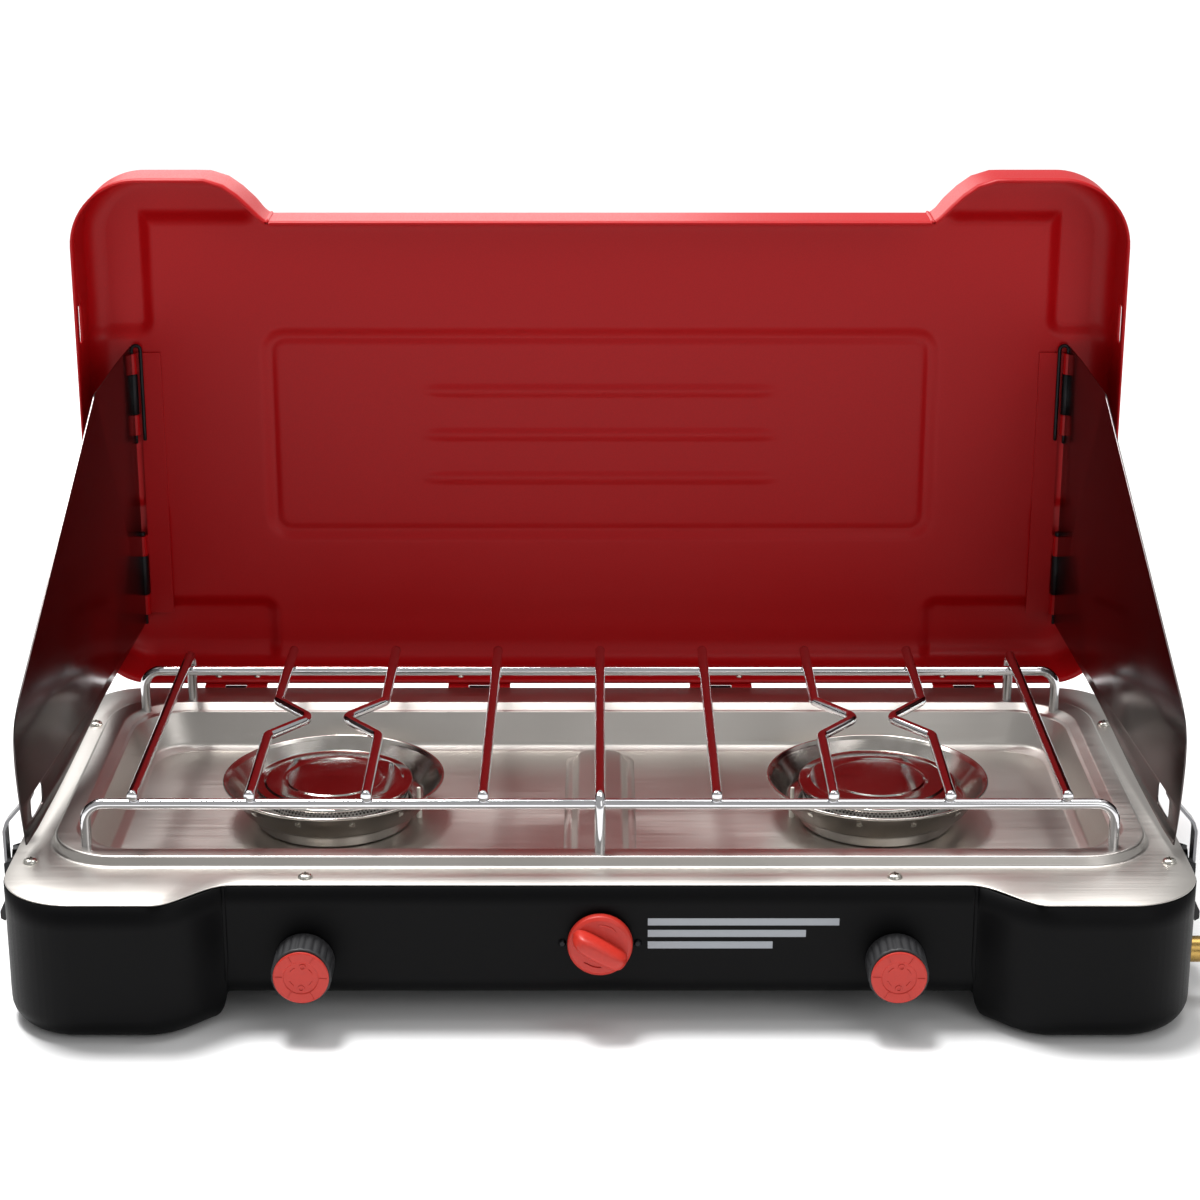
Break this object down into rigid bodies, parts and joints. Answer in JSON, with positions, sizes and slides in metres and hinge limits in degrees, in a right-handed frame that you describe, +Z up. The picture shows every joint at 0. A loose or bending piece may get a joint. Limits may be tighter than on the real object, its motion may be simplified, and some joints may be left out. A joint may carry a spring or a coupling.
{
  "type": "camping stove",
  "caption": "Portable gas camping stove with twin burners, a lift-off wire grate, hinged windscreens, side latches and a folding lid.",
  "frame": {"origin": "on the ground, at the middle of the plan of the whole stove with its lid open", "axes": "+X towards the gas inlet, along the stove's length; -Y towards the knobs; +Z up"},
  "size_m": [0.677, 0.3824, 0.4098],
  "materials": {
    "case_paint": "satin near-black powder coat",
    "lid_paint": "satin red powder coat",
    "tray_steel": "brushed stainless steel",
    "wire_chrome": "bright chrome plate",
    "burner_steel": "polished stainless steel",
    "screen_steel": "dark smooth steel",
    "latch_steel": "zinc-plated steel",
    "hardware_black": "black coated steel",
    "grip_plastic": "matt black moulded plastic",
    "knob_plastic": "satin red moulded plastic",
    "brass": "machined brass",
    "cast": "as-cast aluminium",
    "ceramic": "glazed white ceramic",
    "lead": "red silicone-covered lead"
  },
  "bodies": {
    "base": {"base_shell": "case_paint", "drip_tray": "tray_steel", "gas_inlet": "brass", "manifold_tube": "brass", "valve_body_left": "brass", "mixing_tube_left": "cast", "burner_bowl_left": "burner_steel", "burner_head_left": "cast", "burner_cap_left": "burner_steel", "electrode_left": "ceramic", "ignition_lead_left": "lead", "valve_body_right": "brass", "mixing_tube_right": "cast", "burner_bowl_right": "burner_steel", "burner_head_right": "cast", "burner_cap_right": "burner_steel", "electrode_right": "ceramic", "ignition_lead_right": "lead", "igniter_body": "grip_plastic", "hinge_leaf_base_1": "hardware_black", "hinge_leaf_base_2": "hardware_black", "hinge_leaf_base_3": "hardware_black", "hinge_leaf_base_4": "hardware_black", "latch_plate_left": "hardware_black", "latch_plate_right": "hardware_black"},
    "lid": {"lid_shell": "lid_paint", "hinge_leaf_lid_1": "lid_paint", "hinge_leaf_lid_2": "lid_paint", "hinge_leaf_lid_3": "lid_paint", "hinge_leaf_lid_4": "lid_paint", "windscreen_bracket_left": "lid_paint", "windscreen_pin_lower_left": "hardware_black", "windscreen_pin_upper_left": "hardware_black", "windscreen_bracket_right": "lid_paint", "windscreen_pin_lower_right": "hardware_black", "windscreen_pin_upper_right": "hardware_black"},
    "grate": {"grate_front_rail": "wire_chrome", "grate_rear_rail": "wire_chrome", "grate_rod_1": "wire_chrome", "grate_rod_2": "wire_chrome", "grate_rod_3": "wire_chrome", "grate_rod_4": "wire_chrome", "grate_rod_5": "wire_chrome", "grate_rod_6": "wire_chrome", "grate_rod_7": "wire_chrome", "grate_rod_8": "wire_chrome", "grate_rod_9": "wire_chrome"},
    "igniter_knob": {"igniter_knob": "knob_plastic"},
    "windscreen_left": {"windscreen_left": "screen_steel"},
    "burner_knob_left": {"knob_grip_left": "grip_plastic", "knob_face_left": "knob_plastic"},
    "latch_lever_left": {"latch_lever_left": "grip_plastic"},
    "latch_hook_left": {"latch_hook_left": "latch_steel"},
    "windscreen_right": {"windscreen_right": "screen_steel"},
    "burner_knob_right": {"knob_grip_right": "grip_plastic", "knob_face_right": "knob_plastic"},
    "latch_lever_right": {"latch_lever_right": "grip_plastic"},
    "latch_hook_right": {"latch_hook_right": "latch_steel"}
  },
  "joints": [
    {"name": "lid_hinge", "type": "hinge", "parent": "base", "child": "lid", "pos_m": [0, 0.1384, 0.0802], "axis": [1, 0, 0], "range_deg": [-20, 0]},
    {"name": "windscreen_left_hinge", "type": "hinge", "parent": "lid", "child": "windscreen_left", "pos_m": [-0.298, 0.182, 0.2], "axis": [0, 0, 1], "range_deg": [0, 5]},
    {"name": "windscreen_right_hinge", "type": "hinge", "parent": "lid", "child": "windscreen_right", "pos_m": [0.298, 0.182, 0.2], "axis": [0, 0, -1], "range_deg": [0, 5]},
    {"name": "grate_lift", "type": "slide", "parent": "base", "child": "grate", "axis": [0, 0, 1], "range_m": [0, 0.12]},
    {"name": "burner_knob_left_turn", "type": "hinge", "parent": "base", "child": "burner_knob_left", "pos_m": [-0.161, -0.17, 0.038], "axis": [0, -1, 0], "range_deg": [0, 270]},
    {"name": "burner_knob_right_turn", "type": "hinge", "parent": "base", "child": "burner_knob_right", "pos_m": [0.161, -0.17, 0.038], "axis": [0, -1, 0], "range_deg": [0, 270]},
    {"name": "igniter_turn", "type": "hinge", "parent": "base", "child": "igniter_knob", "pos_m": [0, -0.17, 0.049], "axis": [0, 1, 0], "range_deg": [0, 90], "stiffness_Nm_per_rad": 0.02},
    {"name": "latch_left_lever", "type": "hinge", "parent": "base", "child": "latch_lever_left", "pos_m": [-0.331, -0.0995, 0.068], "axis": [0, 1, 0], "range_deg": [0, 95]},
    {"name": "latch_left_hook", "type": "hinge", "parent": "latch_lever_left", "child": "latch_hook_left", "pos_m": [-0.331, -0.0995, 0.06], "axis": [0, 1, 0], "range_deg": [-114, 0]},
    {"name": "latch_right_lever", "type": "hinge", "parent": "base", "child": "latch_lever_right", "pos_m": [0.331, -0.0995, 0.068], "axis": [0, -1, 0], "range_deg": [0, 95]},
    {"name": "latch_right_hook", "type": "hinge", "parent": "latch_lever_right", "child": "latch_hook_right", "pos_m": [0.331, -0.0995, 0.06], "axis": [0, -1, 0], "range_deg": [-114, 0]}
  ],
  "couplings": [
    {"joint": "latch_left_hook", "follows": "latch_left_lever", "ratio": -1.2},
    {"joint": "latch_right_hook", "follows": "latch_right_lever", "ratio": -1.2}
  ]
}
